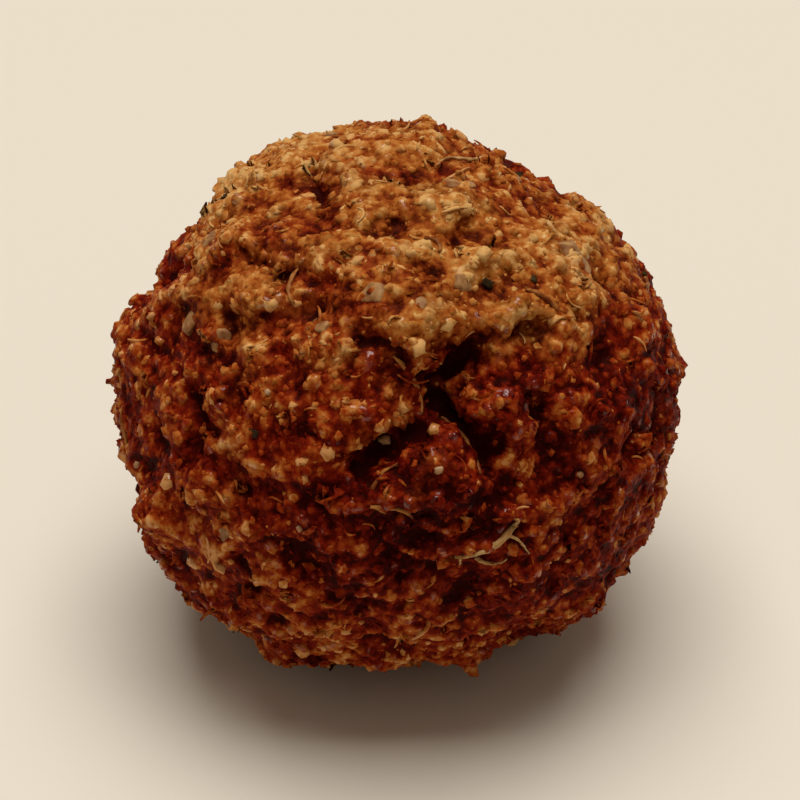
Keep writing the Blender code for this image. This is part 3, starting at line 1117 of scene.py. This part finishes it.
RIMS = [
    [(-0.5, 22.6), (-5.2, 21.0), (-7.0, 17.0), (-6.2, 13.4), (-3.0, 12.6)],
    [(-6.0, 14.2), (-2.8, 14.6), (0.3, 14.2), (1.8, 13.2), (2.6, 11.6)],
    [(12.0, 31.0), (15.0, 29.0), (17.4, 26.1), (18.4, 22.4), (17.6, 19.4)],
    [(-2.0, 45.0), (1.5, 43.2), (5.0, 39.8), (6.6, 36.0), (5.6, 33.0)],
    [(14.5, 69.5), (18.0, 70.6), (23.0, 70.2), (24.0, 68.0), (20.0, 66.6)],
    [(45.0, 52.0), (47.0, 51.0), (49.0, 49.0), (50.0, 47.0), (50.5, 45.0)],
]
HIDDEN_STRANDS = 3
HIDDEN_STEP = 2.2


def ragged_tubes(name, lines, depth, lift):
    """Ragged tubes that follow the crust, each through five places, joined into one piece."""
    tubes = []
    for index, (places, radii) in enumerate(lines):
        points = [place_on(crust, *place, lift) for place in places]
        tubes.append(path_tube(f"{name}_{index}", points, radii, depth, roundness=1))
        with whole_mesh():
            shake(STRAND_SHAKE, index + 1)
    print("There are", len(lines), name)
    return join(tubes, name)


strand_list = list(STRANDS)
for index, place in enumerate(spread_places(HIDDEN_STRANDS, start=95, step=47, lowest=-20, highest=50)):
    strand_list.append((wandering_places(index, *place, HIDDEN_STEP), SLIGHT_RADII))
rim_list = [(places, RIM_RADII) for places in RIMS]
for index, place in enumerate(spread_places(count=9, start=70, step=31, lowest=-35, highest=66)):
    rim_list.append((wandering_places(index + HIDDEN_STRANDS, *place, HIDDEN_STEP), RIM_RADII))
onion_strands = ragged_tubes("onion_strands", strand_list, STRAND_DEPTH, STRAND_LIFT)
onion_rims = ragged_tubes("onion_rims", rim_list, RIM_DEPTH, RIM_LIFT)

# %% Onion material
STAIN_SIZE = 1.1 * MM
STAIN_STARTS = 0.36
STAIN_ENDS = 0.62
SKIN_SIZE = 0.35 * MM
CHIP_DULL = (0.200, 0.070, 0.020)
CHIP_CLEAR = (0.430, 0.225, 0.085)
STRAND_DULL = (0.300, 0.120, 0.026)
STRAND_CLEAR = (0.560, 0.350, 0.140)
RIM_DULL = (0.160, 0.030, 0.005)
RIM_CLEAR = (0.450, 0.170, 0.035)


def onion_material(name, dull, clear, glassy):
    """Onion and herb: light goes a little way into what is glassy, and the oil has browned it unevenly."""
    material, tree, shader = new_material(name)
    place = add_node(tree, "ShaderNodeTexCoord").outputs["Object"]
    stain = noise(tree, place, STAIN_SIZE, 3.0)
    skin = noise(tree, place, SKIN_SIZE, 2.0)
    bump = add_node(tree, "ShaderNodeBump", {"Height": skin, "Strength": 0.6, "Distance": 0.08 * MM})
    set_inputs(tree, shader, {
        "Base Color": ramp(tree, stain, [(STAIN_STARTS, dull), (STAIN_ENDS, clear)]),
        "Normal": bump.outputs[0],
        "Roughness": 0.45,
        "Specular IOR Level": 0.12,
        "Subsurface Weight": glassy,
        "Subsurface Scale": 0.3 * MM,
        "Subsurface Radius": (1.0, 0.6, 0.3),
    })
    return material


for piece, dull, clear, glassy in [(onion_chips, CHIP_DULL, CHIP_CLEAR, 0.15),
                                   (onion_strands, STRAND_DULL, STRAND_CLEAR, 0.15),
                                   (onion_rims, RIM_DULL, RIM_CLEAR, 0.0)]:
    cover(piece, onion_material(piece.name, dull, clear, glassy))
    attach(piece, "root")

# %% [markdown]
# ## Pale grains and herbs
# Single pale grains catch the eye on the front, and here and there lies a dark green fleck of herb. A
# grain is a rounded pebble and a fleck is a thin torn scrap, and both are set on the crust one by one,
# like the onion.

# %% Pale grains
PALE_GRAINS = [
    ((-3.8, 27), 0.95 * MM),
    ((8.2, 22), 0.75 * MM),
    ((-20.6, 7), 0.60 * MM),
    ((-33, 33), 0.55 * MM),
    ((41, 12), 0.55 * MM),
]
PALE_GRAIN_LIFT = 0.10 * MM
PALE_GRAIN_TURN = 40
PALE_GRAIN_SHAPE = (1.0, 0.85, 0.75)
PALE_GRAIN_SHAKE = 0.10
HIDDEN_PALE_SIZES = (0.50 * MM, 0.85 * MM)
PALE_DULL = (0.320, 0.140, 0.050)
PALE_CLEAR = (0.480, 0.290, 0.150)


def make_pale_grain(index, place, size):
    name = f"pale_grain_{index}"
    grain = add_shape(bpy.ops.mesh.primitive_ico_sphere_add, name, subdivisions=2, radius=0.5)
    with whole_mesh():
        bpy.ops.transform.resize(value=PALE_GRAIN_SHAPE)
        shake(PALE_GRAIN_SHAKE, index + 1)
    bpy.ops.object.shade_smooth()
    return settle(grain, place, size, PALE_GRAIN_TURN * index, PALE_GRAIN_LIFT)


grain_list = list(PALE_GRAINS)
for index, place in enumerate(spread_places(count=8, start=75, step=31, lowest=-30, highest=60)):
    grain_list.append((place, stepped(index, *HIDDEN_PALE_SIZES)))
pale_grains = join([make_pale_grain(index, *grain) for index, grain in enumerate(grain_list)], "pale_grains")
cover(pale_grains, onion_material("pale_grains", PALE_DULL, PALE_CLEAR, glassy=0.1))
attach(pale_grains, "root")
print("There are", len(grain_list), "pale grains")

# %% Herb flecks
HERBS = [
    ((-34, 24), 0.8 * MM),
    ((-59, 36), 1.0 * MM),
    ((35, 57), 0.9 * MM),
    ((52, 53), 0.7 * MM),
]
HERB_BEND = 60
HERB_TURN = 70
HERB_LIFT = 0.14 * MM
HIDDEN_HERB_SIZES = (0.60 * MM, 1.20 * MM)
HERB_DULL = (0.016, 0.007, 0.002)
HERB_CLEAR = (0.056, 0.033, 0.005)


def make_herb(index, place, size):
    fleck = make_scrap(f"herb_{index}", HERB_BEND, index + 1)
    return settle(fleck, place, size, HERB_TURN * index, HERB_LIFT)


herb_list = list(HERBS)
for index, place in enumerate(spread_places(count=12, start=85, step=15, lowest=-45, highest=70)):
    herb_list.append((place, stepped(index, *HIDDEN_HERB_SIZES)))
herbs = join([make_herb(index, *herb) for index, herb in enumerate(herb_list)], "herbs")
cover(herbs, onion_material("herbs", HERB_DULL, HERB_CLEAR, glassy=0.0))
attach(herbs, "root")
print("There are", len(herb_list), "flecks of herb")

# %% [markdown]
# ## The floor
# A plain pale floor under the ball. Its warm white throws a soft light back up at the crust.

# %% Floor
FLOOR_SIZE = 3.0
FLOOR_COLOUR = (0.80, 0.735, 0.62, 1.0)
floor = add_shape(bpy.ops.mesh.primitive_plane_add, "floor", size=FLOOR_SIZE)
pale, tree, shader = new_material("pale_floor")
set_inputs(tree, shader, {"Base Color": FLOOR_COLOUR, "Roughness": 0.55})
cover(floor, pale)
